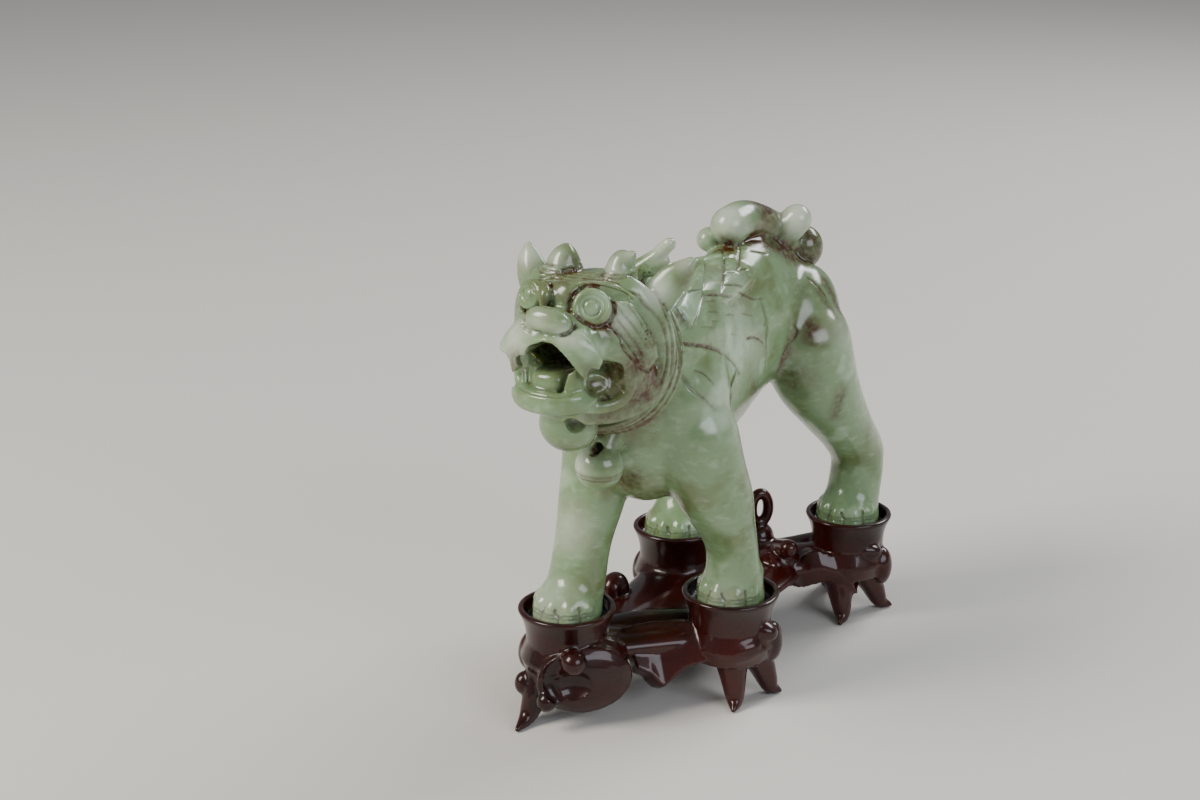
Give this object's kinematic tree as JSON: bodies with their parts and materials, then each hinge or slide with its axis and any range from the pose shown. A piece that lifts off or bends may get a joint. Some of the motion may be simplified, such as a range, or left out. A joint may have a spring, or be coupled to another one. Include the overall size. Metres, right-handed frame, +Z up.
{
  "type": "jade lion carving on stand",
  "caption": "Small jade carving of a striding Buddhist lion with open mouth, ringed collar, bell and curled tail, set in the paw cups of its own gnarled rosewood stand.",
  "frame": {"origin": "middle of the overall footprint, on the table the stand rests on", "axes": "+Z up, -Y the way the lion faces, +X the lion's own left side"},
  "size_m": [0.0604, 0.1432, 0.122],
  "materials": {
    "polished_jade": "polished celadon jade with russet veins",
    "lacquered_rosewood": "dark red-brown rosewood, waxed to a gloss"
  },
  "bodies": {
    "root": {"jade_lion": "polished_jade", "rosewood_stand": "lacquered_rosewood"}
  },
  "joints": []
}
